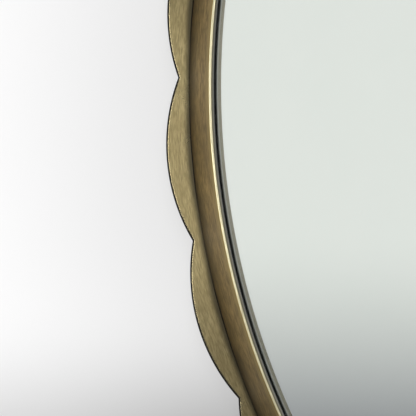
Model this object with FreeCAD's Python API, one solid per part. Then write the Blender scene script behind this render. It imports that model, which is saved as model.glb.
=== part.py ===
"""Round wall mirror with a scalloped brass frame.

Millimetres and degrees. +Z is up, +X is to the right seen from the front, and the front looks towards -Y.
The origin is on the mirror's axis, in the plane of the wall. A depth is a distance forward from that wall.
An angle runs from +X towards +Z.
"""
import FreeCAD, Part
import math
import os

# Scalloped flange
OVERALL_DIAMETER = 914.4       # across the tips of opposite scallops
SCALLOP_COUNT = 32
SCALLOP_DEPTH = 8.0            # from a tip in to a cusp, along the radius
FLANGE_LAND = 6.4              # flat width between a cusp and the foot of the rim
FLANGE_THICKNESS = 3.0
FLANGE_EDGE_ROUND = 1.5        # on the front of the scalloped edge

# Raised rim
RIM_FOOT_WIDTH = 10.0
RIM_FOOT_CHAMFER = 0.8         # edge break that leaves a dark line above the flange
RIM_RUN = 14.8                 # from the outside of the foot in to the middle of the crest
CREST_RADIUS = 1.2
INNER_WALL_HEIGHT = 11.6       # from the rebate's ledge to the top of the crest
LEDGE_WIDTH = 5.2              # the rebate's ledge, which holds the glass at the front

# Glass, and what is packed behind the ledge
TAPE_THICKNESS = 2.5
TAPE_WIDTH = 3.0
TAPE_SETBACK = 0.2             # from the inner wall's lower edge
GLASS_THICKNESS = 6.0
GLASS_EDGE_GAP = 1.2           # filled at four places by the setting blocks
COATING_THICKNESS = 0.2
LINER_THICKNESS = 1.0
BOARD_THICKNESS = 9.0
BOARD_EDGE_GAP = 0.6
BLOCK_LENGTH = 40.0
BLOCK_SPREAD = 30.0            # angle of each setting block from the vertical
BLOCK_CLEARANCE = 0.05

# Fasteners
FASTENER_CLEARANCE = 0.05      # round a screw's shank and under its head's cone
HOLE_END_CLEARANCE = 0.3       # past the tip of a screw
RECESS_WIDTH = 0.8             # arms of the cross for the driver
RECESS_DEPTH = 1.0
FLANGE_SCREW_SIZE = 3.0
FLANGE_SCREW_HEAD = 5.6
FLANGE_SCREW_LENGTH = 8.0
FLANGE_SCREW_INSET = 4.0       # from the rebate's wall out to the screws
FLANGE_SCREWS_PER_BUTTON = 2

# Turn buttons that hold the board in
BUTTON_COUNT = 8
BUTTON_WIDTH = 12.0
BUTTON_REACH = 22.0            # from the pivot to the tip
BUTTON_THICKNESS = 1.5
BUTTON_LIP = 2.4               # finger lip, standing up at the tip
BUTTON_CLEARANCE = 0.1         # in front of and behind a button
PIVOT_INSET = 2.3              # from the outside of the rim's foot in to the pivots
PIVOT_SIZE = 3.0
PIVOT_CLEARANCE = 0.05
PIVOT_HEAD = 5.8
PIVOT_HEAD_HEIGHT = 2.0
PIVOT_TIP_GAP = 0.2            # from a pivot screw's tip to the foot of the rim
WASHER_DIAMETER = 7.0
WASHER_THICKNESS = 0.6

# Hangers
HANGER_SPACING = 400.0
HANGER_HEIGHT = 260.0          # of the rings' pivots above the mirror's axis
STRAP_WIDTH = 16.0
STRAP_LENGTH = 42.0            # from the pivot down to the strap's round end
STRAP_THICKNESS = 1.2
KNUCKLE_LIFT = 0.4             # from the board to the knuckle
HANGER_SCREW_SIZE = 3.5
HANGER_SCREW_HEAD = 6.4
HANGER_SCREW_HEAD_HEIGHT = 1.9
HANGER_SCREW_LENGTH = 8.0
RING_WIRE = 2.8
RING_BORE_CLEARANCE = 0.1
RING_SIDE_GAP = 1.2            # between the strap's edge and the ring
RING_CORNER_RADIUS = 2.4
RING_LEG = 1.5
RING_SCREW_GAP = 0.9           # from the hanging ring down to the upper screw's head

# Wall pads, which also set how far the mirror stands off the wall
PAD_THICKNESS = 6.5
PAD_DIAMETER = 22.0
PAD_TOP_DIAMETER = 20.0
PAD_EDGE_ROUND = 1.0
PAD_COUNT = 4
PAD_INSET = 32.0               # from the board's edge in to the pads

# Radii that follow
tip_r = OVERALL_DIAMETER / 2
cusp_r = tip_r - SCALLOP_DEPTH
foot_r = cusp_r - FLANGE_LAND
rebate_r = foot_r - RIM_FOOT_WIDTH
sight_r = rebate_r - LEDGE_WIDTH
crest_r = foot_r - RIM_RUN
glass_r = rebate_r - GLASS_EDGE_GAP
board_r = rebate_r - BOARD_EDGE_GAP
pivot_circle_r = foot_r - PIVOT_INSET
screw_circle_r = rebate_r + FLANGE_SCREW_INSET
pad_circle_r = board_r - PAD_INSET

# Depths that follow
back_d = PAD_THICKNESS
flange_d = back_d + FLANGE_THICKNESS
board_d = back_d + BOARD_THICKNESS
liner_d = board_d + LINER_THICKNESS
coating_d = liner_d + COATING_THICKNESS
glass_d = coating_d + GLASS_THICKNESS
ledge_d = glass_d + TAPE_THICKNESS
crest_d = ledge_d + INNER_WALL_HEIGHT
button_front_d = back_d - BUTTON_CLEARANCE
button_back_d = button_front_d - BUTTON_THICKNESS
washer_front_d = button_back_d - BUTTON_CLEARANCE
washer_back_d = washer_front_d - WASHER_THICKNESS

# Hanger sizes that follow
wire_r = RING_WIRE / 2
knuckle_bore_r = wire_r + RING_BORE_CLEARANCE
knuckle_r = knuckle_bore_r + STRAP_THICKNESS
strap_d = back_d - STRAP_THICKNESS
knuckle_d = back_d - KNUCKLE_LIFT - knuckle_r
ring_half_width = STRAP_WIDTH / 2 + RING_SIDE_GAP + wire_r
ring_reach = RING_CORNER_RADIUS + RING_LEG + ring_half_width + wire_r

ORIGIN = FreeCAD.Vector(0, 0, 0)
X_AXIS = FreeCAD.Vector(1, 0, 0)
Y_AXIS = FreeCAD.Vector(0, 1, 0)


def section_point(radius, depth):
    """A point of a turned section, which is drawn in the XY plane."""
    return FreeCAD.Vector(radius, -depth, 0)


def section_face(outline):
    """Face of a section. A point is (radius, depth), or (mid radius, mid depth, radius, depth) after an arc."""
    edges = []
    start = section_point(*outline[0][-2:])
    for step in outline[1:] + outline[:1]:
        end = section_point(*step[-2:])
        if len(step) == 4:
            edges.append(Part.Arc(start, section_point(*step[:2]), end).toShape())
        else:
            edges.append(Part.LineSegment(start, end).toShape())
        start = end
    return Part.Face(Part.Wire(edges))


def turned(outline, sweep=360.0):
    """Solid made by turning a section about the Y axis, from the +X direction towards +Z."""
    return section_face(outline).revolve(ORIGIN, Y_AXIS * -1, sweep)


def ring_of(inner_r, outer_r, front_d, rear_d, sweep=360.0):
    """Plain ring, or part of one, with a square section."""
    outline = [(inner_r, rear_d), (outer_r, rear_d), (outer_r, front_d), (inner_r, front_d)]
    return turned(outline, sweep)


def disc_of(radius, front_d, rear_d):
    """Plain round plate on the Y axis."""
    return Part.makeCylinder(radius, front_d - rear_d, section_point(0, rear_d), Y_AXIS * -1)


def swung(shape, angle):
    """Copy of a shape, swung about the mirror's axis."""
    return shape.rotated(ORIGIN, Y_AXIS * -1, angle)


def at_polar(shape, radius, angle):
    """Copy of a shape made on the Y axis, moved out along +X and then swung to its angle."""
    return swung(shape.translated(X_AXIS * radius), angle)


def one_solid(shapes):
    """Pieces that share faces, joined into one solid with the inner faces gone."""
    return shapes[0].fuse(shapes[1:]).removeSplitter().Solids[0]


def tangent_point(centre, radius, outside, side):
    """Point where a line from outside touches a circle, both as (radius, depth). Side is 1 or -1."""
    across = outside[0] - centre[0]
    along = outside[1] - centre[1]
    turn = math.atan2(along, across) + side * math.acos(radius / math.hypot(across, along))
    return (centre[0] + radius * math.cos(turn), centre[1] + radius * math.sin(turn))


def button_angles():
    """Angles of the turn buttons, alike on the left and the right."""
    pitch = 360.0 / BUTTON_COUNT
    return [pitch * (i + 0.5) for i in range(BUTTON_COUNT)]


def flange_screw_angles():
    """Angles of the flange screws, spread evenly between the turn buttons."""
    step = 360.0 / BUTTON_COUNT / FLANGE_SCREWS_PER_BUTTON
    offsets = [step * (i + 0.5) for i in range(FLANGE_SCREWS_PER_BUTTON)]
    return [angle + offset for angle in button_angles() for offset in offsets]


def hanger_screw_places():
    """Centres of the hanger screws as (x, z): below each hanging ring, and in the middle of each round end."""
    drops = [ring_reach + RING_SCREW_GAP + HANGER_SCREW_HEAD / 2, STRAP_LENGTH - STRAP_WIDTH / 2]
    return [(side * HANGER_SPACING / 2, HANGER_HEIGHT - drop) for side in (-1, 1) for drop in drops]


def at_place(shape, place):
    """Copy of a shape made on the Y axis, moved to (x, z)."""
    return shape.translated(FreeCAD.Vector(place[0], 0, place[1]))


def cross_recess(span, rear_d):
    """Cross-shaped cut for a screwdriver, open at the rear depth."""
    front_y = -(rear_d + RECESS_DEPTH)
    arms = []
    for size_x, size_z in ((span, RECESS_WIDTH), (RECESS_WIDTH, span)):
        corner = FreeCAD.Vector(-size_x / 2, front_y, -size_z / 2)
        arms.append(Part.makeBox(size_x, RECESS_DEPTH, size_z, corner))
    return arms[0].fuse(arms[1])


def countersunk_outline(clearance, length):
    """Section of a countersunk screw that is flush with the back of the flange, or of its hole."""
    head_r = FLANGE_SCREW_HEAD / 2 + clearance
    shank_r = FLANGE_SCREW_SIZE / 2 + clearance
    cone_d = back_d + head_r - shank_r
    tip_d = back_d + length
    return [(0, back_d), (head_r, back_d), (shank_r, cone_d), (shank_r, tip_d), (0, tip_d)]


def pan_screw(size, head, head_height, seat_d, tip_d):
    """Pan head screw on the Y axis, with a domed head behind its seat."""
    head_r = head / 2
    shank_r = size / 2
    crown = head_height / 2
    side_d = seat_d - crown
    top_d = side_d - crown
    dome_r = (head_r ** 2 + crown ** 2) / (2 * crown)
    half_arc = math.asin(head_r / dome_r) / 2
    dome_mid = (dome_r * math.sin(half_arc), top_d + dome_r * (1 - math.cos(half_arc)))
    outline = [(0, tip_d), (shank_r, tip_d), (shank_r, seat_d), (head_r, seat_d), (head_r, side_d)]
    outline.append((dome_mid[0], dome_mid[1], 0, top_d))
    return turned(outline).cut(cross_recess(head_r, top_d))


def scalloped_flange():
    """Flat plate with a scalloped edge, drilled for the rim's screws and the buttons' pivots."""
    pitch = 360.0 / SCALLOP_COUNT
    half_pitch = math.radians(pitch / 2)
    half_chord = cusp_r * math.sin(half_pitch)
    rise = tip_r - cusp_r * math.cos(half_pitch)
    lobe_r = (half_chord ** 2 + rise ** 2) / (2 * rise)
    round_centre = (lobe_r - FLANGE_EDGE_ROUND, flange_d - FLANGE_EDGE_ROUND)
    round_mid = [value + FLANGE_EDGE_ROUND * math.sqrt(0.5) for value in round_centre]
    lobe = turned([
        (0, back_d),
        (lobe_r, back_d),
        (lobe_r, round_centre[1]),
        (round_mid[0], round_mid[1], round_centre[0], flange_d),
        (0, flange_d),
    ])
    lobe.translate(X_AXIS * (tip_r - lobe_r))
    sector = swung(ring_of(rebate_r, OVERALL_DIAMETER, 2 * flange_d, 0, pitch), -pitch / 2)
    scallop = lobe.common(sector)
    plate = one_solid([swung(scallop, pitch * (i + 0.5)) for i in range(SCALLOP_COUNT)])
    screw_hole = turned(countersunk_outline(FASTENER_CLEARANCE, 2 * FLANGE_THICKNESS))
    pivot_hole = disc_of(PIVOT_SIZE / 2 + FASTENER_CLEARANCE, 2 * flange_d, 0)
    holes = [at_polar(screw_hole, screw_circle_r, angle) for angle in flange_screw_angles()]
    holes += [at_polar(pivot_hole, pivot_circle_r, angle) for angle in button_angles()]
    return plate.cut(Part.makeCompound(holes))


def rim_ring():
    """Raised ring: sloping outer face, rounded crest, inner wall, and a rebate behind for the glass."""
    crest = (crest_r, crest_d - CREST_RADIUS)
    slope_foot = (foot_r, flange_d + RIM_FOOT_CHAMFER)
    wall_foot = (sight_r, ledge_d)
    outer = tangent_point(crest, CREST_RADIUS, slope_foot, 1)
    inner = tangent_point(crest, CREST_RADIUS, wall_foot, -1)
    body = turned([
        (rebate_r, flange_d),
        (foot_r - RIM_FOOT_CHAMFER, flange_d),
        slope_foot,
        outer,
        (crest_r, crest_d, inner[0], inner[1]),
        wall_foot,
        (rebate_r, ledge_d),
    ])
    hole = turned(countersunk_outline(FASTENER_CLEARANCE, FLANGE_SCREW_LENGTH + HOLE_END_CLEARANCE))
    return body.cut(Part.makeCompound([at_polar(hole, screw_circle_r, angle) for angle in flange_screw_angles()]))


def glazing_tape():
    """Black foam tape between the ledge and the front of the glass."""
    inner_r = sight_r + TAPE_SETBACK
    return ring_of(inner_r, inner_r + TAPE_WIDTH, ledge_d, glass_d)


def setting_blocks():
    """Four rubber blocks that carry and centre the edge of the glass."""
    sweep = math.degrees(BLOCK_LENGTH / glass_r)
    inner_r = glass_r + BLOCK_CLEARANCE
    outer_r = rebate_r - BLOCK_CLEARANCE
    block = swung(ring_of(inner_r, outer_r, glass_d, coating_d, sweep), -sweep / 2)
    angles = [vertical + side * BLOCK_SPREAD for vertical in (90, 270) for side in (-1, 1)]
    return Part.makeCompound([swung(block, angle) for angle in angles])


def backing_board():
    """Board that closes the back, with pilot holes for the hanger screws."""
    hole_d = strap_d + HANGER_SCREW_LENGTH + HOLE_END_CLEARANCE
    hole = disc_of(HANGER_SCREW_SIZE / 2 + FASTENER_CLEARANCE, hole_d, 0)
    holes = [at_place(hole, place) for place in hanger_screw_places()]
    return disc_of(board_r, board_d, back_d).cut(Part.makeCompound(holes))


def flange_screws():
    """Countersunk screws through the flange into the foot of the rim."""
    screw = turned(countersunk_outline(0, FLANGE_SCREW_LENGTH))
    screw = screw.cut(cross_recess(FLANGE_SCREW_HEAD / 2, back_d))
    return Part.makeCompound([at_polar(screw, screw_circle_r, angle) for angle in flange_screw_angles()])


def turn_button():
    """Flat tongue with a round pivot end and a finger lip, pivot on the Y axis, tip towards -X."""
    half_width = BUTTON_WIDTH / 2
    tongue_corner = FreeCAD.Vector(-BUTTON_REACH, -button_front_d, -half_width)
    tongue = Part.makeBox(BUTTON_REACH, BUTTON_THICKNESS, BUTTON_WIDTH, tongue_corner)
    lip_corner = FreeCAD.Vector(-BUTTON_REACH, -button_back_d, -half_width)
    lip = Part.makeBox(BUTTON_THICKNESS, BUTTON_LIP, BUTTON_WIDTH, lip_corner)
    button = one_solid([tongue, disc_of(half_width, button_front_d, button_back_d), lip])
    return button.cut(disc_of(PIVOT_SIZE / 2 + PIVOT_CLEARANCE, 2 * back_d, 0))


def turn_button_washers():
    """Washers between the buttons and the heads of their screws."""
    washer = ring_of(PIVOT_SIZE / 2 + PIVOT_CLEARANCE, WASHER_DIAMETER / 2, washer_front_d, washer_back_d)
    return Part.makeCompound([at_polar(washer, pivot_circle_r, angle) for angle in button_angles()])


def turn_button_screws():
    """Pivot screws of the buttons, threaded into the flange."""
    screw = pan_screw(PIVOT_SIZE, PIVOT_HEAD, PIVOT_HEAD_HEIGHT, washer_back_d, flange_d - PIVOT_TIP_GAP)
    return Part.makeCompound([at_polar(screw, pivot_circle_r, angle) for angle in button_angles()])


def hanger_strap(side):
    """Strap with a knuckle at its upper end, screwed to the board. Side is -1 or 1."""
    half_width = STRAP_WIDTH / 2
    tail_corner = FreeCAD.Vector(-half_width, -back_d, half_width - STRAP_LENGTH)
    tail = Part.makeBox(STRAP_WIDTH, STRAP_THICKNESS, STRAP_LENGTH - half_width, tail_corner)
    tail_end = disc_of(half_width, back_d, strap_d).translated(FreeCAD.Vector(0, 0, half_width - STRAP_LENGTH))
    knuckle_end = FreeCAD.Vector(-half_width, -knuckle_d, 0)
    knuckle = Part.makeCylinder(knuckle_r, STRAP_WIDTH, knuckle_end, X_AXIS)
    strap = one_solid([tail, tail_end, knuckle])
    strap = strap.cut(Part.makeCylinder(knuckle_bore_r, STRAP_WIDTH, knuckle_end, X_AXIS))
    strap = at_place(strap, (side * HANGER_SPACING / 2, HANGER_HEIGHT))
    hole = disc_of(HANGER_SCREW_SIZE / 2 + FASTENER_CLEARANCE, 2 * back_d, 0)
    return strap.cut(Part.makeCompound([at_place(hole, place) for place in hanger_screw_places()]))


def hanger_screws():
    """Pan head screws that hold the straps to the board."""
    tip_d = strap_d + HANGER_SCREW_LENGTH
    screw = pan_screw(HANGER_SCREW_SIZE, HANGER_SCREW_HEAD, HANGER_SCREW_HEAD_HEIGHT, strap_d, tip_d)
    return Part.makeCompound([at_place(screw, place) for place in hanger_screw_places()])


def wire_face(centre, normal):
    """Round section of the ring's wire."""
    return Part.Face(Part.Wire(Part.makeCircle(wire_r, centre, normal)))


def d_ring(side):
    """Wire ring hanging from its strap: straight bar, two corners, two legs and a half-round bow."""
    down = FreeCAD.Vector(0, 0, -1)
    corner_x = ring_half_width - RING_CORNER_RADIUS
    leg_z = -RING_CORNER_RADIUS - RING_LEG
    pieces = [Part.makeCylinder(wire_r, 2 * corner_x, FreeCAD.Vector(-corner_x, 0, 0), X_AXIS)]
    for end in (-1, 1):
        corner_start = wire_face(FreeCAD.Vector(end * corner_x, 0, 0), X_AXIS)
        corner_centre = FreeCAD.Vector(end * corner_x, 0, -RING_CORNER_RADIUS)
        pieces.append(corner_start.revolve(corner_centre, Y_AXIS * end, 90))
        leg_top = FreeCAD.Vector(end * ring_half_width, 0, -RING_CORNER_RADIUS)
        pieces.append(Part.makeCylinder(wire_r, RING_LEG, leg_top, down))
    bow_start = wire_face(FreeCAD.Vector(ring_half_width, 0, leg_z), down)
    pieces.append(bow_start.revolve(FreeCAD.Vector(0, 0, leg_z), Y_AXIS, 180))
    ring = one_solid(pieces)
    return ring.translated(FreeCAD.Vector(side * HANGER_SPACING / 2, -knuckle_d, HANGER_HEIGHT))


def wall_pads():
    """Rubber pads on the board whose rear faces rest on the wall."""
    base_r = PAD_DIAMETER / 2
    top_r = PAD_TOP_DIAMETER / 2
    bend = PAD_EDGE_ROUND * (1 - math.sqrt(0.5))
    pad = turned([
        (0, back_d),
        (base_r, back_d),
        (top_r, PAD_EDGE_ROUND),
        (top_r - bend, bend, top_r - PAD_EDGE_ROUND, 0),
        (0, 0),
    ])
    pitch = 360.0 / PAD_COUNT
    return Part.makeCompound([at_polar(pad, pad_circle_r, pitch * (i + 0.5)) for i in range(PAD_COUNT)])


def all_pieces():
    """Every node's name with its shape."""
    pieces = {
        "scalloped_flange": scalloped_flange(),
        "rim_ring": rim_ring(),
        "glazing_tape": glazing_tape(),
        "mirror_glass": disc_of(glass_r, glass_d, coating_d),
        "silver_coating": disc_of(glass_r, coating_d, liner_d),
        "felt_liner": disc_of(glass_r, liner_d, board_d),
        "setting_blocks": setting_blocks(),
        "backing_board": backing_board(),
        "flange_screws": flange_screws(),
        "turn_button_washers": turn_button_washers(),
        "turn_button_screws": turn_button_screws(),
        "hanger_strap_left": hanger_strap(-1),
        "hanger_strap_right": hanger_strap(1),
        "hanger_screws": hanger_screws(),
        "d_ring_left": d_ring(-1),
        "d_ring_right": d_ring(1),
        "wall_pads": wall_pads(),
    }
    for number, angle in enumerate(button_angles(), start=1):
        pieces["turn_button_%d" % number] = at_polar(turn_button(), pivot_circle_r, angle)
    return pieces


os.makedirs("parts", exist_ok=True)
for node, shape in all_pieces().items():
    shape.exportStep("parts/%s.step" % node)
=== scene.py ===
"""Looks of a round wall mirror with a scalloped brass frame, in metres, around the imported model.

+Z is up, the front looks towards -Y, and the wall is the plane y = 0.
A depth is a distance forward from the wall.
"""
import math

import bmesh
import bpy
from mathutils import Matrix, Vector


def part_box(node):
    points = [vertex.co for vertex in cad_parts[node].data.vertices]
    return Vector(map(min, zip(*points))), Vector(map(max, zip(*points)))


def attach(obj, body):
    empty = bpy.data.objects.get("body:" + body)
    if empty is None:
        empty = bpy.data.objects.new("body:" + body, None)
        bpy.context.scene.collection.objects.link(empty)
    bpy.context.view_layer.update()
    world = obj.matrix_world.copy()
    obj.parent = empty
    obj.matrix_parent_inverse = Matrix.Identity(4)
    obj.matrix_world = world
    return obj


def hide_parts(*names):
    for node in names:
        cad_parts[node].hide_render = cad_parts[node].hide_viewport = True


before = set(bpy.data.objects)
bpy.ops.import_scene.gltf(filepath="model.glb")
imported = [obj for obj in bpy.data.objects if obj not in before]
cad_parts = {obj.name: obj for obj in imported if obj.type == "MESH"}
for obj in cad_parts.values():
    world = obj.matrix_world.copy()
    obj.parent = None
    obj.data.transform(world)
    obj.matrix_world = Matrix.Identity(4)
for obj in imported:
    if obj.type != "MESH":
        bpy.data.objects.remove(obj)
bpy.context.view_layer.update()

MM = 0.001
TAU = 2 * math.pi

# Radii of the frame
TIP_RADIUS = 457.2 * MM
SCALLOP_COUNT = 32
SCALLOP_DEPTH = 8.0 * MM
FLANGE_LAND = 6.4 * MM
RIM_FOOT_WIDTH = 10.0 * MM
LEDGE_WIDTH = 5.2 * MM
RIM_RUN = 14.8 * MM
CUSP_RADIUS = TIP_RADIUS - SCALLOP_DEPTH
FOOT_RADIUS = CUSP_RADIUS - FLANGE_LAND
REBATE_RADIUS = FOOT_RADIUS - RIM_FOOT_WIDTH
SIGHT_RADIUS = REBATE_RADIUS - LEDGE_WIDTH
CREST_CIRCLE = FOOT_RADIUS - RIM_RUN

# Small sizes of the frame, the glass and the board
FLANGE_EDGE_ROUND = 1.5 * MM
FLANGE_REAR_BREAK = 0.25 * MM
RIM_FOOT_CHAMFER = 0.8 * MM
CREST_RADIUS = 1.2 * MM
TAPE_SETBACK = 0.2 * MM
TAPE_WIDTH = 3.0 * MM
TAPE_BULGE = 0.35 * MM
GLASS_ARRIS = 0.4 * MM
SILVER_INSET = 0.3 * MM
SILVER_EDGE_BREAK = 0.02 * MM
SILVER_SINK = 0.05 * MM        # the silver reaches this far into the glass, so no two faces share a plane
BOARD_EDGE_ROUND = 0.6 * MM

# Fasteners and pads
FLANGE_SCREW_HEAD = 5.6 * MM
FLANGE_SCREW_SIZE = 3.0 * MM
FLANGE_SCREW_COUNT = 16
FLANGE_SCREW_FROM_REBATE = 4.0 * MM
FLANGE_SCREW_CIRCLE = REBATE_RADIUS + FLANGE_SCREW_FROM_REBATE
SCREW_CLEARANCE = 0.05 * MM
BUTTON_COUNT = 8
PIVOT_HEAD = 5.8 * MM
PIVOT_SIZE = 3.0 * MM
PIVOT_FROM_FOOT = 2.3 * MM
PIVOT_CIRCLE = FOOT_RADIUS - PIVOT_FROM_FOOT
WASHER_DIAMETER = 7.0 * MM
HANGER_SCREW_HEAD = 6.4 * MM
HANGER_SCREW_SIZE = 3.5 * MM
STRAP_THICKNESS = 1.2 * MM
HEAD_ROUND = 0.25 * MM
RECESS_WIDTH = 0.8 * MM
RECESS_DEPTH = 1.0 * MM
PAD_DIAMETER = 22.0 * MM
PAD_TOP_DIAMETER = 20.0 * MM
PAD_EDGE_ROUND = 1.0 * MM
PAD_COUNT = 4

# How finely round things are divided
RING_STEPS = 960
LOBE_STEPS = 30
SMALL_STEPS = 40
ROUND_STEPS = 8
FLANGE_ROWS = (0.35, 0.7, 0.94)    # shares of the way from the rim's foot to the flange's rounded edge
SHARP_ANGLE = math.radians(32)
SLIVER = 0.002 * MM                # points nearer than this are joined after a cut

# Shading
FORWARD = (0, -1, 0)
ACROSS_AXIS = (1, 0, 1)
ACROSS_BRUSHING = 0.25             # share of a turn between the brushed lines and the spread of the shine
BRUSH_RELIEF = 0.05 * MM

# Camera, on the mirror's axis and turned to the left side of the frame
CAMERA_PLACE = Vector((0.0, -3.0, 0.0))
CAMERA_AIM = Vector((-0.4336, 0.0, -0.0700))
CAMERA_ROLL = math.radians(0.50)
LENS_MM = 487.3
SENSOR_MM = 36.0

# Stage
WALL_GAP = 0.5 * MM
WALL_WIDTH = 8.0
WALL_HEIGHT = 5.0
FLOOR_SIZE = 40.0
FLOOR_DROP = 0.30                  # from the frame's lowest scallop down to the floor
FLOOR_LEVEL = -TIP_RADIUS - FLOOR_DROP


def depths(node):
    """Rear and front depth of a solid."""
    low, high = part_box(node)
    return -high.y, -low.y


FLANGE_BACK, FLANGE_FRONT = depths("scalloped_flange")
CREST_FRONT = depths("rim_ring")[1]
GLASS_BACK, GLASS_FRONT = depths("mirror_glass")
SILVER_BACK, SILVER_FRONT = depths("silver_coating")
BOARD_BACK, BOARD_FRONT = depths("backing_board")
LEDGE = depths("glazing_tape")[1]
GLASS_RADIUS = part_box("mirror_glass")[1].x
BOARD_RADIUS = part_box("backing_board")[1].x


# Meshes

def on_ring(radius, depth, angle):
    """Point at a radius and depth, with the angle from +X towards +Z."""
    return Vector((radius * math.cos(angle), -depth, radius * math.sin(angle)))


def join_loops(bm, first, second):
    """Faces between two loops of vertices. A loop of one vertex is a point on the axis."""
    count = max(len(first), len(second))
    for i in range(count):
        j = (i + 1) % count
        near = [first[i % len(first)], first[j % len(first)]]
        far = [second[j % len(second)], second[i % len(second)]]
        bm.faces.new(list(dict.fromkeys(near + far)))


def shade_by_angle(mesh):
    """Smooth shading that stays crisp at real edges."""
    for face in mesh.polygons:
        face.use_smooth = True
    mesh.set_sharp_from_angle(angle=SHARP_ANGLE)


def finish_mesh(bm, name):
    """Mesh data with outward normals, smooth faces and sharp edges where it bends."""
    bmesh.ops.recalc_face_normals(bm, faces=bm.faces)
    mesh = bpy.data.meshes.new(name)
    bm.to_mesh(mesh)
    bm.free()
    shade_by_angle(mesh)
    return mesh


def turned_mesh(name, outline, steps=RING_STEPS):
    """Mesh turned about the Y axis.

    An outline that starts on the axis ends there, and any other one closes on itself.
    """
    bm = bmesh.new()
    loops = []
    for radius, depth in outline:
        count = steps if radius > 0 else 1
        loops.append([bm.verts.new(on_ring(radius, depth, TAU * i / count)) for i in range(count)])
    following = loops[1:] if outline[0][0] == 0 else loops[1:] + loops[:1]
    for first, second in zip(loops, following):
        join_loops(bm, first, second)
    return finish_mesh(bm, name)


def copies(name, mesh, places):
    """One mesh made of a copy of another at each place."""
    bm = bmesh.new()
    for place in places:
        copy = mesh.copy()
        copy.transform(place)
        bm.from_mesh(copy)
        bpy.data.meshes.remove(copy)
    return finish_mesh(bm, name)


def remove_slivers(mesh):
    """Joins points that fall together, so that no face is left without an area."""
    bm = bmesh.new()
    bm.from_mesh(mesh)
    bmesh.ops.remove_doubles(bm, verts=bm.verts, dist=SLIVER)
    bmesh.ops.dissolve_degenerate(bm, edges=bm.edges, dist=SLIVER)
    bm.to_mesh(mesh)
    bm.free()


def cut(mesh, cutter):
    """The first mesh with the second cut out of it."""
    body = bpy.data.objects.new("body_to_cut", mesh)
    tool = bpy.data.objects.new("cutting_tool", cutter)
    for thing in (body, tool):
        bpy.context.scene.collection.objects.link(thing)
    boolean = body.modifiers.new("cut", "BOOLEAN")
    boolean.operation = "DIFFERENCE"
    boolean.solver = "EXACT"
    boolean.use_self = True
    boolean.object = tool
    graph = bpy.context.evaluated_depsgraph_get()
    result = bpy.data.meshes.new_from_object(body.evaluated_get(graph))
    result.name = mesh.name
    for thing in (body, tool):
        bpy.data.objects.remove(thing)
    remove_slivers(result)
    shade_by_angle(result)
    return result


def round_corner(centre, radius, start, end, steps=ROUND_STEPS):
    """Points of an arc in a turned outline, with angles from the outward direction towards the front."""
    turns = [start + (end - start) * i / steps for i in range(steps + 1)]
    return [(centre[0] + radius * math.cos(t), centre[1] + radius * math.sin(t)) for t in turns]


def polar_places(radius, angles):
    """Places at a radius for shapes made on the Y axis."""
    return [Matrix.Translation(on_ring(radius, 0, a)) @ Matrix.Rotation(-a, 4, "Y") for a in angles]


def even_angles(count):
    """Angles spread evenly round the frame, the first one half a spacing from +X."""
    return [TAU * (i + 0.5) / count for i in range(count)]


def piece(name, mesh, material, slot, *nodes):
    """Object that stands for solids of the frame's own body."""
    made = bpy.data.objects.new(name, mesh)
    bpy.context.scene.collection.objects.link(made)
    mesh.materials.clear()
    mesh.materials.append(material)
    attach(made, "frame")
    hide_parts(*nodes)
    return made


def keep_flats_flat(made):
    """Shading normals that follow the wide flat faces, so a narrow round beside one shows as a round."""
    weighted = made.modifiers.new("flat_faces", "WEIGHTED_NORMAL")
    weighted.keep_sharp = True
    weighted.weight = 100


# Shapes of the frame, the glass and the board

def scallop_edge(angle, inset):
    """Radius of the scalloped edge at an angle, for an edge that is set in from the real one."""
    pitch = TAU / SCALLOP_COUNT
    half_chord = CUSP_RADIUS * math.sin(pitch / 2)
    rise = TIP_RADIUS - CUSP_RADIUS * math.cos(pitch / 2)
    lobe_radius = (half_chord ** 2 + rise ** 2) / (2 * rise)
    lobe_centre = TIP_RADIUS - lobe_radius
    turn = angle % pitch - pitch / 2
    aside = lobe_centre * math.sin(turn)
    return lobe_centre * math.cos(turn) + math.sqrt((lobe_radius - inset) ** 2 - aside ** 2)


def flange_mesh():
    """Flat plate with scallops, a rounded front edge and countersunk holes at the back."""
    steps = SCALLOP_COUNT * LOBE_STEPS
    angles = [TAU * i / steps for i in range(steps)]
    bm = bmesh.new()

    def circle(radius, depth):
        return [bm.verts.new(on_ring(radius, depth, a)) for a in angles]

    def scallops(inset, depth, share=1.0):
        radii = [FOOT_RADIUS + share * (scallop_edge(a, inset) - FOOT_RADIUS) for a in angles]
        return [bm.verts.new(on_ring(r, depth, a)) for r, a in zip(radii, angles)]

    loops = [circle(REBATE_RADIUS, FLANGE_FRONT), circle(FOOT_RADIUS, FLANGE_FRONT)]
    loops += [scallops(FLANGE_EDGE_ROUND, FLANGE_FRONT, share) for share in FLANGE_ROWS]
    for i in range(ROUND_STEPS + 1):
        turn = TAU / 4 * i / ROUND_STEPS
        inset = FLANGE_EDGE_ROUND * (1 - math.sin(turn))
        loops.append(scallops(inset, FLANGE_FRONT - FLANGE_EDGE_ROUND * (1 - math.cos(turn))))
    loops.append(scallops(0, FLANGE_BACK + FLANGE_REAR_BREAK))
    loops.append(scallops(FLANGE_REAR_BREAK, FLANGE_BACK))
    loops.append(circle(FOOT_RADIUS, FLANGE_BACK))
    loops.append(circle(REBATE_RADIUS, FLANGE_BACK))
    for first, second in zip(loops, loops[1:] + loops[:1]):
        join_loops(bm, first, second)
    plate = finish_mesh(bm, "scalloped_flange")
    outline = countersunk_outline(SCREW_CLEARANCE, FLANGE_BACK - HEAD_ROUND, FLANGE_FRONT)
    sink = turned_mesh("countersink", outline, SMALL_STEPS)
    return cut(plate, copies("countersinks", sink, flange_screw_places()))


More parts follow.
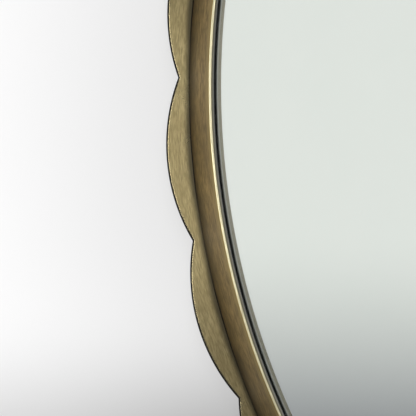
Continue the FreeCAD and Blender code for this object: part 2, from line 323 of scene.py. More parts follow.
def tangent_turn(centre, radius, outside, side):
    """Direction from a circle's centre to where a line from outside touches it."""
    across = outside[0] - centre[0]
    ahead = outside[1] - centre[1]
    return math.atan2(ahead, across) + side * math.acos(radius / math.hypot(across, ahead))


def rim_mesh():
    """Raised ring with a sloping outer face, a rounded crest and an inner wall."""
    crest = (CREST_CIRCLE, CREST_FRONT - CREST_RADIUS)
    slope_foot = (FOOT_RADIUS, FLANGE_FRONT + RIM_FOOT_CHAMFER)
    wall_foot = (SIGHT_RADIUS, LEDGE)
    start = tangent_turn(crest, CREST_RADIUS, slope_foot, 1)
    end = tangent_turn(crest, CREST_RADIUS, wall_foot, -1) % TAU
    outline = [
        (REBATE_RADIUS, FLANGE_FRONT),
        (FOOT_RADIUS - RIM_FOOT_CHAMFER, FLANGE_FRONT),
        slope_foot,
        *round_corner(crest, CREST_RADIUS, start, end, 2 * ROUND_STEPS),
        wall_foot,
        (REBATE_RADIUS, LEDGE),
    ]
    return turned_mesh("rim_ring", outline)


def tape_mesh():
    """Foam tape, its inner edge squeezed out a little past the rim's wall."""
    edge = SIGHT_RADIUS + TAPE_SETBACK
    middle = (GLASS_FRONT + LEDGE) / 2
    half = (LEDGE - GLASS_FRONT) / 2
    outline = [(edge + TAPE_WIDTH, GLASS_FRONT), (edge + TAPE_WIDTH, LEDGE)]
    for i in range(ROUND_STEPS + 1):
        turn = TAU / 2 * i / ROUND_STEPS
        outline.append((edge - TAPE_BULGE * math.sin(turn), middle + half * math.cos(turn)))
    return turned_mesh("glazing_tape", outline)


def disc_mesh(name, radius, back, front, edge):
    """Round plate with its edges broken."""
    outline = [
        (0, back),
        (radius - edge, back),
        (radius, back + edge),
        (radius, front - edge),
        (radius - edge, front),
        (0, front),
    ]
    return turned_mesh(name, outline)


# Shapes of the fasteners and the pads

def flange_screw_places():
    """Places of the flange's screws, two between each pair of turn buttons."""
    return polar_places(FLANGE_SCREW_CIRCLE, even_angles(FLANGE_SCREW_COUNT))


def countersunk_outline(clearance, back, tip):
    """Half section of a countersunk screw with its cone in the flange's back, or of the hole for one."""
    head = FLANGE_SCREW_HEAD / 2 + clearance
    shank = FLANGE_SCREW_SIZE / 2 + clearance
    cone = FLANGE_BACK + head - shank
    return [(0, back), (head, back), (head, FLANGE_BACK), (shank, cone), (shank, tip), (0, tip)]


def cross_recess(span, back):
    """Cross of two bars, which cuts the driver's recess from behind."""
    bm = bmesh.new()
    for size_x, size_z in ((span, RECESS_WIDTH), (RECESS_WIDTH, span)):
        size = Matrix.Diagonal((size_x, 2 * RECESS_DEPTH, size_z, 1))
        bmesh.ops.create_cube(bm, size=1, matrix=Matrix.Translation((0, -back, 0)) @ size)
    return finish_mesh(bm, "cross_recess")


def countersunk_screw_mesh(back, tip):
    """Flange screw with a countersunk head and a cross recess."""
    screw = turned_mesh("flange_screw", countersunk_outline(0, back, tip), SMALL_STEPS)
    return cut(screw, cross_recess(FLANGE_SCREW_HEAD / 2, back))


def pan_screw_mesh(name, head, size, back, seat, tip):
    """Pan head screw with a domed head and a cross recess."""
    head_r = head / 2
    crown = (seat - back) / 2
    dome_r = (head_r ** 2 + crown ** 2) / (2 * crown)
    half = math.asin(head_r / dome_r)
    dome = []
    for i in range(ROUND_STEPS + 1):
        turn = half * i / ROUND_STEPS
        dome.append((dome_r * math.sin(turn), back + dome_r * (1 - math.cos(turn))))
    outline = [*dome, (head_r, seat), (size / 2, seat), (size / 2, tip), (0, tip)]
    return cut(turned_mesh(name, outline, SMALL_STEPS), cross_recess(head_r, back))


def washer_mesh(back, front):
    """Flat washer with its rear edge broken."""
    bore = PIVOT_SIZE / 2 + SCREW_CLEARANCE
    edge = WASHER_DIAMETER / 2
    outline = [
        (bore, back),
        (edge - HEAD_ROUND / 2, back),
        (edge, back + HEAD_ROUND / 2),
        (edge, front),
        (bore, front),
    ]
    return turned_mesh("washer", outline, SMALL_STEPS)


def pad_mesh():
    """Rubber pad, tapered, with a rounded rim at the wall."""
    top = PAD_TOP_DIAMETER / 2
    corner = round_corner((top - PAD_EDGE_ROUND, PAD_EDGE_ROUND), PAD_EDGE_ROUND, -TAU / 4, 0)
    outline = [(0, 0), *corner, (PAD_DIAMETER / 2, BOARD_BACK), (0, BOARD_BACK)]
    return turned_mesh("pad", outline, SMALL_STEPS)


# Shader nodes

def add(tree, kind, inputs=(), **settings):
    """New node with its settings. Inputs are (socket, value or another node's output) pairs."""
    made = tree.nodes.new(kind)
    for key, value in settings.items():
        setattr(made, key, value)
    for key, value in inputs:
        if isinstance(value, bpy.types.NodeSocket):
            tree.links.new(value, made.inputs[key])
        else:
            made.inputs[key].default_value = value
    return made


def maths(tree, operation, *values):
    """Result of a Math node."""
    return add(tree, "ShaderNodeMath", enumerate(values), operation=operation).outputs[0]


def times(tree, first, second):
    """Product of two values."""
    return maths(tree, "MULTIPLY", first, second)


def one_minus(tree, value):
    """What a value leaves of one."""
    return maths(tree, "SUBTRACT", 1.0, value)


def vector_maths(tree, operation, *values):
    """Outputs of a Vector Math node."""
    return add(tree, "ShaderNodeVectorMath", enumerate(values), operation=operation).outputs


def along(tree, vector, direction):
    """How far a vector goes in a direction."""
    return vector_maths(tree, "DOT_PRODUCT", vector, direction)["Value"]


def off_axis(tree, point):
    """The way from the mirror's axis to a point, and its length."""
    way = vector_maths(tree, "MULTIPLY", point, ACROSS_AXIS)["Vector"]
    return way, vector_maths(tree, "LENGTH", way)["Value"]


def split(tree, vector):
    """The three parts of a vector."""
    return add(tree, "ShaderNodeSeparateXYZ", ((0, vector),)).outputs


def ramp(tree, value, low, high, to_low=0.0, to_high=1.0):
    """Smooth change from one value to another as the input goes from low to high."""
    inputs = (
        ("Value", value),
        ("From Min", low),
        ("From Max", high),
        ("To Min", to_low),
        ("To Max", to_high),
    )
    return add(tree, "ShaderNodeMapRange", inputs, interpolation_type="SMOOTHSTEP").outputs["Result"]


def noise(tree, place, **settings):
    """Value of a noise texture at a place."""
    return add(tree, "ShaderNodeTexNoise", (("Vector", place), *settings.items())).outputs["Fac"]


def blend(tree, share, first, second):
    """Colour between two colours, from the Mix node's sockets for colours."""
    mix = add(tree, "ShaderNodeMix", ((0, share), (6, first), (7, second)), data_type="RGBA")
    return mix.outputs[2]


def colour(red, green, blue):
    """Linear colour for a socket."""
    return (red, green, blue, 1.0)


# Effects that several materials share

def new_group(name, inputs, outputs):
    """Empty node group with float inputs and outputs, and its input node's sockets."""
    group = bpy.data.node_groups.new(name, "ShaderNodeTree")
    for socket, value in inputs:
        made = group.interface.new_socket(name=socket, in_out="INPUT", socket_type="NodeSocketFloat")
        made.default_value = value
    for socket in outputs:
        group.interface.new_socket(name=socket, in_out="OUTPUT", socket_type="NodeSocketFloat")
    return group, group.nodes.new("NodeGroupInput").outputs


def put_out(group, **values):
    """Connects a group's results to its outputs."""
    end = group.nodes.new("NodeGroupOutput")
    for name, value in values.items():
        group.links.new(value, end.inputs[name])


def use(tree, group, **inputs):
    """Outputs of a group placed in a material with its own values."""
    made = add(tree, "ShaderNodeGroup", node_tree=group)
    for name, value in inputs.items():
        made.inputs[name].default_value = value
    return made.outputs


def ring_place_group():
    """Where a point lies on the round frame, and how far it faces the front and outwards.

    Lobe is 1 at the middle of a scallop and 0 at a cusp.
    """
    group, _ = new_group("ring_place", (), ("Radius", "Depth", "Facing", "Outward", "Lobe"))
    spot = add(group, "ShaderNodeTexCoord").outputs
    way, radius = off_axis(group, spot["Object"])
    depth = along(group, spot["Object"], FORWARD)
    facing = along(group, spot["Normal"], FORWARD)
    outward = along(group, spot["Normal"], vector_maths(group, "NORMALIZE", way)["Vector"])
    parts = split(group, spot["Object"])
    angle = maths(group, "ARCTAN2", parts["Z"], parts["X"])
    wave = maths(group, "COSINE", times(group, angle, SCALLOP_COUNT))
    lobe = ramp(group, wave, 1.0, -1.0)
    put_out(group, Radius=radius, Depth=depth, Facing=facing, Outward=outward, Lobe=lobe)
    return group


def ring_streaks_group():
    """Brushed lines that run round the frame: fine across the radius, long along the circle."""
    group, given = new_group("ring_streaks", (("Across", 2500.0), ("Along", 12.0)), ("Streaks",))
    spot = add(group, "ShaderNodeTexCoord").outputs["Object"]
    parts = split(group, spot)
    radius = off_axis(group, spot)[1]
    across = times(group, maths(group, "SUBTRACT", radius, parts["Y"]), given["Across"])
    side = times(group, parts["X"], given["Along"])
    up = times(group, parts["Z"], given["Along"])
    place = add(group, "ShaderNodeCombineXYZ", ((0, side), (1, across), (2, up))).outputs[0]
    lines = noise(group, place, Scale=1.0, Detail=3.0, Roughness=0.6)
    put_out(group, Streaks=ramp(group, lines, 0.28, 0.72))
    return group


def clouds_group():
    """Soft uneven patches, such as tarnish or wiped dirt."""
    group, given = new_group("clouds", (("Scale", 25.0),), ("Clouds",))
    spot = add(group, "ShaderNodeTexCoord").outputs["Object"]
    patches = noise(group, spot, Scale=given["Scale"], Detail=5.0, Roughness=0.6, Distortion=0.6)
    put_out(group, Clouds=ramp(group, patches, 0.3, 0.7))
    return group


def grain_group():
    """Fine even grain for foam, felt, rubber, board and plated steel."""
    group, given = new_group("grain", (("Scale", 900.0),), ("Grain",))
    spot = add(group, "ShaderNodeTexCoord").outputs["Object"]
    specks = noise(group, spot, Scale=given["Scale"], Detail=2.0, Roughness=0.7)
    put_out(group, Grain=ramp(group, specks, 0.25, 0.75))
    return group


def dust_group():
    """Thin dust on faces that look up."""
    group, given = new_group("dust", (("Amount", 0.3),), ("Dust",))
    spot = add(group, "ShaderNodeTexCoord").outputs
    up = along(group, spot["Normal"], (0, 0, 1))
    patch = ramp(group, noise(group, spot["Object"], Scale=260.0, Detail=4.0), 0.35, 0.65, 0.4, 1.0)
    lies = times(group, ramp(group, up, 0.2, 0.9), patch)
    put_out(group, Dust=times(group, lies, given["Amount"]))
    return group


RING_PLACE = ring_place_group()
RING_STREAKS = ring_streaks_group()
CLOUDS = clouds_group()
GRAIN = grain_group()
DUST = dust_group()


# Materials

def new_material(name, **constants):
    """Material with its tree and its Principled shader, whose plain values are set by socket name."""
    material = bpy.data.materials.new(name)
    material.use_nodes = True
    tree = material.node_tree
    shader = tree.nodes["Principled BSDF"]
    for key, value in constants.items():
        shader.inputs[key.replace("_", " ")].default_value = value
    return material, tree, shader


def feed(tree, shader, **varying):
    """Connects what varies over the surface to the shader, by socket name."""
    for key, value in varying.items():
        tree.links.new(value, shader.inputs[key.replace("_", " ")])


def bump(tree, shader, height, strength, distance):
    """Surface relief from a height that varies over the surface."""
    made = add(tree, "ShaderNodeBump", (("Height", height), ("Strength", strength), ("Distance", distance)))
    feed(tree, shader, Normal=made.outputs["Normal"])


def brushed(tree, shader):
    """Lets the shine spread across the brushed lines, which run round the frame."""
    tangent = add(tree, "ShaderNodeTangent", direction_type="RADIAL", axis="Y")
    feed(tree, shader, Tangent=tangent.outputs["Tangent"])


def flange_brass():
    """Brushed antique brass, with patina and painted shade in the crease at the rim, and painted shade
    along the cut edge.
    """
    crease_start = FOOT_RADIUS + 0.1 * MM
    crease_end = FOOT_RADIUS + 3.9 * MM
    lobe_reach = 1.1 * MM
    seam_start = FOOT_RADIUS + 0.3 * MM
    seam_end = FOOT_RADIUS + 0.85 * MM
    material, tree, shader = new_material(
        "flange_brass", Anisotropic=0.98, Anisotropic_Rotation=ACROSS_BRUSHING, Specular_IOR_Level=0.15)
    brushed(tree, shader)
    place = use(tree, RING_PLACE)
    fine = use(tree, RING_STREAKS, Across=1400.0, Along=220.0)["Streaks"]
    broad = use(tree, RING_STREAKS, Across=300.0, Along=70.0)["Streaks"]
    clouds = use(tree, CLOUDS, Scale=60.0)["Clouds"]
    brass = blend(tree, fine, colour(0.21, 0.171, 0.085), colour(0.42, 0.345, 0.177))
    brass = blend(tree, times(tree, broad, 0.5), brass, colour(0.215, 0.170, 0.085))
    brass = blend(tree, times(tree, clouds, 0.4), brass, colour(0.23, 0.181, 0.083))

    # On the front only: the crease at the rim, dark with patina and painted shade, wider at the middle of a
    # scallop, and the black seam line, painted shade in the gap at the rim
    showing = ramp(tree, place["Facing"], 0.2, 0.6)
    reach = maths(tree, "SUBTRACT", place["Radius"], times(tree, place["Lobe"], lobe_reach))
    crease_patina_and_shade = ramp(tree, reach, crease_start, crease_end, 0.92, 0.0)
    brass = blend(tree, times(tree, crease_patina_and_shade, showing), brass, colour(0.050, 0.043, 0.027))
    seam_shade = ramp(tree, place["Radius"], seam_start, seam_end, 1.0, 0.0)
    seam_shade = times(tree, seam_shade, ramp(tree, place["Lobe"], 0.0, 1.0, 0.35, 1.0))
    brass = blend(tree, times(tree, seam_shade, showing), brass, colour(0.008, 0.007, 0.006))

    # The rounded edge, worn bright where it begins, with a painted highlight on the wear, and painted shade
    # further round
    flatness = maths(tree, "ABSOLUTE", place["Facing"])
    wear_and_highlight = ramp(tree, flatness, 0.9995, 0.996)
    brass = blend(tree, times(tree, wear_and_highlight, 0.8), brass, colour(0.50, 0.435, 0.255))
    # Painted shade on the outer part of the rounded edge
    dark = ramp(tree, flatness, 0.985, 0.955)
    brass = blend(tree, dark, brass, colour(0.012, 0.009, 0.006))

    rough = maths(tree, "ADD", 0.27, times(tree, clouds, 0.06))
    rough = maths(tree, "SUBTRACT", rough, times(tree, wear_and_highlight, 0.09))
    rough = maths(tree, "ADD", rough, times(tree, dark, 0.45))
    metal = ramp(tree, dark, 0.0, 1.0, 1.0, 0.0)
    feed(tree, shader, Base_Color=brass, Metallic=metal, Roughness=rough)
    relief = times(tree, fine, one_minus(tree, wear_and_highlight))
    bump(tree, shader, relief, strength=0.12, distance=BRUSH_RELIEF)
    return material


def rim_brass():
    """Brushed antique brass with painted shade at its foot and seam, a polished crest and a dull inner wall
    painted pale as a painted reflection.
    """
    foot_shade_end = FLANGE_FRONT + 17.0 * MM
    seam_start = FLANGE_FRONT + 0.9 * MM
    seam_end = FLANGE_FRONT + 1.4 * MM
    rise_start = CREST_FRONT - 5.0 * MM
    rise_end = CREST_FRONT - 1.2 * MM
    wall_middle = LEDGE + 5.0 * MM
    wall_foot = LEDGE + 2.5 * MM
    material, tree, shader = new_material(
        "rim_brass", Metallic=1.0, Anisotropic=0.6, Anisotropic_Rotation=ACROSS_BRUSHING)
    brushed(tree, shader)
    place = use(tree, RING_PLACE)
    fine = use(tree, RING_STREAKS, Across=1400.0, Along=180.0)["Streaks"]
    broad = use(tree, RING_STREAKS, Across=420.0, Along=45.0)["Streaks"]
    clouds = use(tree, CLOUDS, Scale=70.0)["Clouds"]
    brass = blend(tree, fine, colour(0.158, 0.110, 0.042), colour(0.415, 0.291, 0.113))
    brass = blend(tree, times(tree, broad, 0.45), brass, colour(0.173, 0.124, 0.054))
    brass = blend(tree, times(tree, clouds, 0.35), brass, colour(0.144, 0.097, 0.035))

    # The sloping face: painted shade at its foot, lighter at the middle of a scallop as a painted
    # reflection of the flange, a black seam line of painted shade at the flange, and plainer brass towards
    # the crest
    foot_shade = ramp(tree, place["Depth"], FLANGE_FRONT, foot_shade_end, 0.92, 0.0)
    # Lighter at the middle of a scallop: a painted reflection of the flange
    foot_shade = times(tree, foot_shade, ramp(tree, place["Lobe"], 0.3, 1.0, 1.0, 0.6))
    brass = blend(tree, foot_shade, brass, colour(0.095, 0.076, 0.046))
    seam_shade = ramp(tree, place["Depth"], seam_start, seam_end, 1.0, 0.0)
    brass = blend(tree, seam_shade, brass, colour(0.008, 0.007, 0.006))
    rise = ramp(tree, place["Depth"], rise_start, rise_end, 0.0, 0.85)
    brass = blend(tree, rise, brass, colour(0.33, 0.247, 0.093))

    # The inner wall, painted greyer and paler than brass as a painted reflection of pale light, paler still
    # near the glass, and the polished crest
    inner = ramp(tree, place["Outward"], -0.45, -0.75)
    near_glass = ramp(tree, place["Depth"], wall_middle, wall_foot)
    inner_wall_reflection = blend(tree, near_glass, colour(0.27, 0.243, 0.172), colour(0.40, 0.394, 0.345))
    brass = blend(tree, inner, brass, inner_wall_reflection)
    polish = ramp(tree, place["Facing"], 0.74, 0.88)
    polish = times(tree, polish, ramp(tree, place["Outward"], 0.41, 0.22))
    brass = blend(tree, polish, brass, colour(0.79, 0.73, 0.475))

    rough = maths(tree, "SUBTRACT", 0.42, times(tree, polish, 0.14))
    rough = maths(tree, "ADD", rough, times(tree, inner, 0.15))
    feed(tree, shader, Base_Color=brass, Roughness=rough)
    plain = times(tree, one_minus(tree, polish), one_minus(tree, rise))
    bump(tree, shader, times(tree, fine, plain), strength=0.10, distance=BRUSH_RELIEF)
    return material


def foam_black():
    """Black closed-cell foam."""
    material, tree, shader = new_material("foam_black", Metallic=0.0)
    grain = use(tree, GRAIN, Scale=2600.0)["Grain"]
    body = blend(tree, grain, colour(0.056, 0.057, 0.056), colour(0.128, 0.130, 0.126))
    feed(tree, shader, Base_Color=body, Roughness=ramp(tree, grain, 0.0, 1.0, 0.8, 0.98))
    bump(tree, shader, grain, strength=0.5, distance=0.1 * MM)
    return material


def float_glass():
    """Clear float glass with a faint green cast and hardly seen wipe marks."""
    material, tree, shader = new_material("float_glass", Transmission_Weight=1.0, IOR=1.52)
    clouds = use(tree, CLOUDS, Scale=9.0)["Clouds"]
    cast = blend(tree, clouds, colour(0.955, 0.985, 0.965), colour(0.965, 0.99, 0.975))
    feed(tree, shader, Base_Color=cast, Roughness=ramp(tree, clouds, 0.0, 1.0, 0.0, 0.012))
    return material


def silver_layer():
    """Silver behind the glass, very slightly uneven."""
    material, tree, shader = new_material("silver_layer", Metallic=1.0)
    clouds = use(tree, CLOUDS, Scale=6.0)["Clouds"]
    silver = blend(tree, clouds, colour(0.93, 0.945, 0.935), colour(0.95, 0.96, 0.95))
    feed(tree, shader, Base_Color=silver, Roughness=ramp(tree, clouds, 0.0, 1.0, 0.0, 0.01))
    return material


def felt_grey():
    """Thin grey felt."""
    material, tree, shader = new_material("felt_grey", Metallic=0.0)
    grain = use(tree, GRAIN, Scale=1500.0)["Grain"]
    fibres = blend(tree, grain, colour(0.16, 0.16, 0.165), colour(0.30, 0.30, 0.31))
    feed(tree, shader, Base_Color=fibres, Roughness=ramp(tree, grain, 0.0, 1.0, 0.9, 1.0))
    bump(tree, shader, grain, strength=0.6, distance=0.2 * MM)
    return material


def rubber(name, dark, pale, grain_scale, dust):
    """Matt rubber with fine grain and a little dust."""
    material, tree, shader = new_material(name, Metallic=0.0)
    grain = use(tree, GRAIN, Scale=grain_scale)["Grain"]
    lying = use(tree, DUST, Amount=dust)["Dust"]
    body = blend(tree, lying, blend(tree, grain, dark, pale), colour(0.30, 0.29, 0.27))
    feed(tree, shader, Base_Color=body, Roughness=ramp(tree, grain, 0.0, 1.0, 0.62, 0.85))
    bump(tree, shader, grain, strength=0.3, distance=0.1 * MM)
    return material


def pad_rubber():
    """Black rubber of the wall pads."""
    dark = colour(0.020, 0.020, 0.020)
    pale = colour(0.045, 0.045, 0.044)
    return rubber("pad_rubber", dark, pale, grain_scale=1400.0, dust=0.4)


def block_rubber():
    """Dark grey rubber of the setting blocks."""
    dark = colour(0.05, 0.05, 0.05)
    pale = colour(0.09, 0.09, 0.09)
    return rubber("block_rubber", dark, pale, grain_scale=1600.0, dust=0.1)


def board_black():
    """Black-faced board with pressed fibres, scuffs and dust."""
    material, tree, shader = new_material("board_black", Metallic=0.0)
    grain = use(tree, GRAIN, Scale=700.0)["Grain"]
    clouds = use(tree, CLOUDS, Scale=16.0)["Clouds"]
    scuffs = ramp(tree, use(tree, CLOUDS, Scale=26.0)["Clouds"], 0.45, 1.0, 0.0, 0.16)
    lying = use(tree, DUST, Amount=0.35)["Dust"]
    face = blend(tree, grain, colour(0.018, 0.018, 0.019), colour(0.058, 0.056, 0.054))
    face = blend(tree, times(tree, clouds, 0.25), face, colour(0.060, 0.058, 0.055))
    face = blend(tree, scuffs, face, colour(0.098, 0.094, 0.088))
    face = blend(tree, lying, face, colour(0.32, 0.31, 0.29))
    feed(tree, shader, Base_Color=face, Roughness=ramp(tree, clouds, 0.0, 1.0, 0.55, 0.75))
    bump(tree, shader, grain, strength=0.35, distance=0.15 * MM)
    return material


def zinc_steel():
    """Bright zinc-plated steel with patchy sheen."""
    material, tree, shader = new_material("zinc_steel", Metallic=1.0)
    grain = use(tree, GRAIN, Scale=1900.0)["Grain"]
    clouds = use(tree, CLOUDS, Scale=120.0)["Clouds"]
    plate = blend(tree, clouds, colour(0.60, 0.62, 0.64), colour(0.70, 0.70, 0.67))
    plate = blend(tree, times(tree, grain, 0.35), plate, colour(0.48, 0.50, 0.52))
    feed(tree, shader, Base_Color=plate, Roughness=ramp(tree, clouds, 0.0, 1.0, 0.28, 0.42))
    bump(tree, shader, grain, strength=0.1, distance=0.05 * MM)
    return material


# Pieces

def dress_frame():
    """The flange, the rim and the tape inside it."""
    flange = piece("flange", flange_mesh(), flange_brass(), "antique_brass", "scalloped_flange")
    keep_flats_flat(flange)
    rim = piece("rim", rim_mesh(), rim_brass(), "antique_brass", "rim_ring")
    keep_flats_flat(rim)
    piece("tape", tape_mesh(), foam_black(), "black_foam", "glazing_tape")


def dress_glass():
    """The glass, which is returned, and the silver behind it."""
    sheet = disc_mesh("mirror_glass", GLASS_RADIUS, GLASS_BACK, GLASS_FRONT, GLASS_ARRIS)
    glass = piece("glass", sheet, float_glass(), "clear_glass", "mirror_glass")
    radius = GLASS_RADIUS - SILVER_INSET
    layer = disc_mesh("silver_coating", radius, SILVER_BACK, SILVER_FRONT + SILVER_SINK, SILVER_EDGE_BREAK)
    piece("silver", layer, silver_layer(), "silvering", "silver_coating")
    return glass


def dress_board():
    """The board that closes the back."""
    sheet = disc_mesh("backing_board", BOARD_RADIUS, BOARD_BACK, BOARD_FRONT, BOARD_EDGE_ROUND)
    board = piece("board", sheet, board_black(), "black_board", "backing_board")
    keep_flats_flat(board)


def dress_pads():
    """The pads that rest on the wall."""
    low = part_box("wall_pads")[0]
    circle = math.hypot(low.x + PAD_DIAMETER / 2, low.z + PAD_DIAMETER / 2)
    pads = copies("wall_pads", pad_mesh(), polar_places(circle, even_angles(PAD_COUNT)))
    piece("pads", pads, pad_rubber(), "pad_rubber", "wall_pads")


def dress_frame_screws(steel):
    """The screws that hold the flange to the rim."""
    screw = countersunk_screw_mesh(*depths("flange_screws"))
    screws = copies("flange_screws", screw, flange_screw_places())
    piece("frame_screws", screws, steel, "zinc_steel", "flange_screws")


def dress_button_fasteners(steel):
    """The washers and pivot screws of the turn buttons."""
    pivots = polar_places(PIVOT_CIRCLE, even_angles(BUTTON_COUNT))
    washer_back, washer_front = depths("turn_button_washers")
    washers = copies("turn_button_washers", washer_mesh(washer_back, washer_front), pivots)
    piece("button_washers", washers, steel, "zinc_steel", "turn_button_washers")
    back, tip = depths("turn_button_screws")
    screw = pan_screw_mesh("pivot_screw", PIVOT_HEAD, PIVOT_SIZE, back, washer_back, tip)
    screws = copies("turn_button_screws", screw, pivots)
    piece("button_screws", screws, steel, "zinc_steel", "turn_button_screws")


def dress_strap_screws(steel):
    """The screws that hold the hanger straps, two in each."""
    back, tip = depths("hanger_screws")
    seat = BOARD_BACK - STRAP_THICKNESS
    screw = pan_screw_mesh("hanger_screw", HANGER_SCREW_HEAD, HANGER_SCREW_SIZE, back, seat, tip)
    low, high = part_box("hanger_screws")
    radius = HANGER_SCREW_HEAD / 2
    spots = [(x, z) for x in (low.x + radius, high.x - radius) for z in (low.z + radius, high.z - radius)]
    screws = copies("hanger_screws", screw, [Matrix.Translation((x, 0, z)) for x, z in spots])
    piece("strap_screws", screws, steel, "zinc_steel", "hanger_screws")


def dress_solids(steel):
    """Materials for the solids that show as they are."""
    finishes = {"felt_liner": felt_grey(), "setting_blocks": block_rubber()}
    for name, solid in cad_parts.items():
        if solid.hide_render:
            continue
        solid.data.materials.clear()
        solid.data.materials.append(finishes.get(name, steel))


# Stage, light and camera

def stage_sheet(name, size_x, size_y, place, turn, material):
    """Flat sheet of the stage, made one metre square and stretched to its size."""
    bm = bmesh.new()
    bmesh.ops.create_grid(bm, x_segments=1, y_segments=1, size=0.5)
    mesh = bpy.data.meshes.new(name)
    bm.to_mesh(mesh)
    bm.free()
    mesh.materials.append(material)
    sheet = bpy.data.objects.new(name, mesh)
    sheet.scale = (size_x, size_y, 1)
    sheet.location = place
    sheet.rotation_euler = turn
    bpy.context.scene.collection.objects.link(sheet)
    return sheet


def wall_paint():
    """Pale backdrop, with painted shade that dims it low down and a painted shadow round the frame.

    It is seen from its front only, by the camera, the metal and the glass. Other light passes through.
    """
    dim_top = -0.105
    dim_bottom = -0.255
    shade_inner = 0.40
    shade_outer = 0.62
    material, tree, shader = new_material("wall_paint", Roughness=0.9, Emission_Strength=1.0)
    spot = add(tree, "ShaderNodeNewGeometry").outputs
    low = ramp(tree, split(tree, spot["Position"])["Z"], dim_top, dim_bottom)
    near = ramp(tree, off_axis(tree, spot["Position"])[1], shade_inner, shade_outer, 1.0, 0.0)
    # Painted shadow round the frame, deeper low down, and painted shade that dims the backdrop low down
    shade = times(tree, near, ramp(tree, low, 0.0, 1.0, 0.23, 0.58))
    level = times(tree, ramp(tree, low, 0.0, 1.0, 0.99, 0.55), one_minus(tree, shade))
    feed(tree, shader, Base_Color=times(tree, level, 0.22), Emission_Color=times(tree, level, 0.84))
    path = add(tree, "ShaderNodeLightPath").outputs
    rays = maths(tree, "MAXIMUM", path["Is Camera Ray"], path["Is Glossy Ray"])
    rays = maths(tree, "MAXIMUM", rays, path["Is Transmission Ray"])
    seen = times(tree, rays, one_minus(tree, spot["Backfacing"]))
    clear = add(tree, "ShaderNodeBsdfTransparent")
    mix = add(tree, "ShaderNodeMixShader", ((0, seen), (1, clear.outputs[0]), (2, shader.outputs[0])))
    tree.links.new(mix.outputs[0], tree.nodes["Material Output"].inputs["Surface"])
    return material


def floor_paint():
    """Pale matt floor."""
    material, tree, shader = new_material("floor_paint", Roughness=0.9)
    clouds = use(tree, CLOUDS, Scale=1.5)["Clouds"]
    feed(tree, shader, Base_Color=blend(tree, clouds, colour(0.78, 0.78, 0.77), colour(0.81, 0.81, 0.80)))
    return material


def set_stage():
    """Backdrop just behind the pads, and a floor below that the metal and the glass don't show."""
    middle = FLOOR_LEVEL + WALL_HEIGHT / 2
    stage_sheet("backdrop", WALL_WIDTH, WALL_HEIGHT, (0, WALL_GAP, middle), (TAU / 4, 0, 0), wall_paint())
    floor = stage_sheet("floor", FLOOR_SIZE, FLOOR_SIZE, (0, 0, FLOOR_LEVEL), (0, 0, 0), floor_paint())
    floor.visible_glossy = False
    floor.visible_transmission = False


def set_room():
    """World that stands for the room: a pale far wall that dims low down and high up, and grey sides.

    The glass shows it pale with a dim band low down, and the camera sees a plain pale ground.
    """
    world = bpy.data.worlds.new("room")
    bpy.context.scene.world = world
    world.use_nodes = True
    tree = world.node_tree
    direction = add(tree, "ShaderNodeTexCoord").outputs["Generated"]
    height = split(tree, direction)["Z"]
    ahead = along(tree, direction, FORWARD)
    pale = colour(0.81, 0.82, 0.795)
    dark = colour(0.02, 0.02, 0.06)
    dim = ramp(tree, height, -0.026, -0.083, 0.0, 0.92)
    side = colour(0.38, 0.38, 0.38)
    low_side = colour(0.06, 0.06, 0.06)
    sides = blend(tree, ramp(tree, height, -0.36, -0.19), low_side, side)
    far_wall = blend(tree, ramp(tree, height, 0.0, 0.14, 0.0, 0.85), pale, dark)
    far_wall = blend(tree, dim, far_wall, dark)
    room = blend(tree, ramp(tree, ahead, 0.70, 0.96), sides, far_wall)
    mirrored = blend(tree, times(tree, dim, ramp(tree, height, -0.30, -0.12)), pale, dark)
    path = add(tree, "ShaderNodeLightPath").outputs
    shown = blend(tree, path["Is Transmission Ray"], room, mirrored)
    shown = blend(tree, path["Is Camera Ray"], shown, colour(0.86, 0.86, 0.86))
    background = tree.nodes["Background"]
    tree.links.new(shown, background.inputs["Color"])
    background.inputs["Strength"].default_value = 1.0


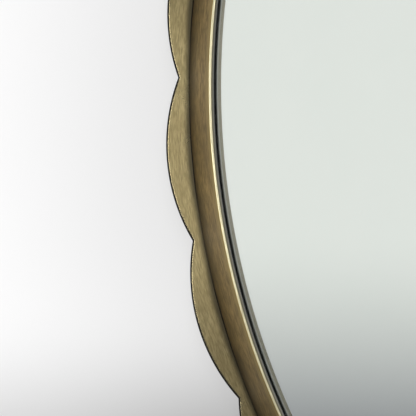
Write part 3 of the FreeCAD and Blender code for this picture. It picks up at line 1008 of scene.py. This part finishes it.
def area_light(unlit, name, place, size, power, aim):
    """Soft lamp of a width and a height that points at a spot.

    It leaves the pieces of a collection unlit and isn't seen through glass.
    """
    lamp = bpy.data.lights.new(name, "AREA")
    lamp.shape = "RECTANGLE"
    lamp.size, lamp.size_y = size
    lamp.energy = power
    made = bpy.data.objects.new(name, lamp)
    made.location = place
    made.rotation_euler = (Vector(aim) - Vector(place)).to_track_quat("-Z", "Y").to_euler()
    made.visible_transmission = False
    made.light_linking.receiver_collection = unlit
    bpy.context.scene.collection.objects.link(made)


def set_lamps(glass):
    """Soft lamps, four for the left side of the frame, one for its top and one for the back.

    They leave the glass unlit, so it shows none of them.
    """
    left = -0.44
    unlit = bpy.data.collections.new("unlit")
    unlit.objects.link(glass)
    unlit.collection_objects[0].light_linking.link_state = "EXCLUDE"
    area_light(unlit, "key_lamp", (0.50, -2.3, 0.07), (0.18, 0.26), 2.5, (left, 0, -0.05))
    area_light(unlit, "right_lamp", (1.6, -1.0, -0.12), (0.5, 0.5), 5.0, (left, 0, 0))
    area_light(unlit, "left_lamp", (-1.9, -1.9, -0.19), (0.35, 0.68), 7.9, (left, 0, 0))
    area_light(unlit, "low_lamp", (-1.72, -0.6, -0.54), (0.2, 0.40), 1.1, (left, 0, -0.1))
    area_light(unlit, "top_lamp", (0.0, -1.5, 1.8), (1.2, 1.2), 20.0, (0, 0, 0.2))
    area_light(unlit, "rear_lamp", (1.2, 1.8, 1.4), (1.2, 1.2), 28.0, (0, 0, 0))


def set_camera():
    """Long lens on the mirror's axis, turned to the left side of the frame."""
    lens = bpy.data.cameras.new("camera")
    lens.lens = LENS_MM
    lens.sensor_width = SENSOR_MM
    camera = bpy.data.objects.new("camera", lens)
    look = (CAMERA_AIM - CAMERA_PLACE).to_track_quat("-Z", "Y")
    camera.location = CAMERA_PLACE
    camera.rotation_euler = (look.to_matrix() @ Matrix.Rotation(CAMERA_ROLL, 3, "Z")).to_euler()
    bpy.context.scene.collection.objects.link(camera)
    bpy.context.scene.camera = camera


plated_steel = zinc_steel()
dress_frame()
glass = dress_glass()
dress_board()
dress_pads()
dress_frame_screws(plated_steel)
dress_button_fasteners(plated_steel)
dress_strap_screws(plated_steel)
dress_solids(plated_steel)
set_stage()
set_room()
set_lamps(glass)
set_camera()
bpy.context.scene.view_settings.view_transform = "Standard"
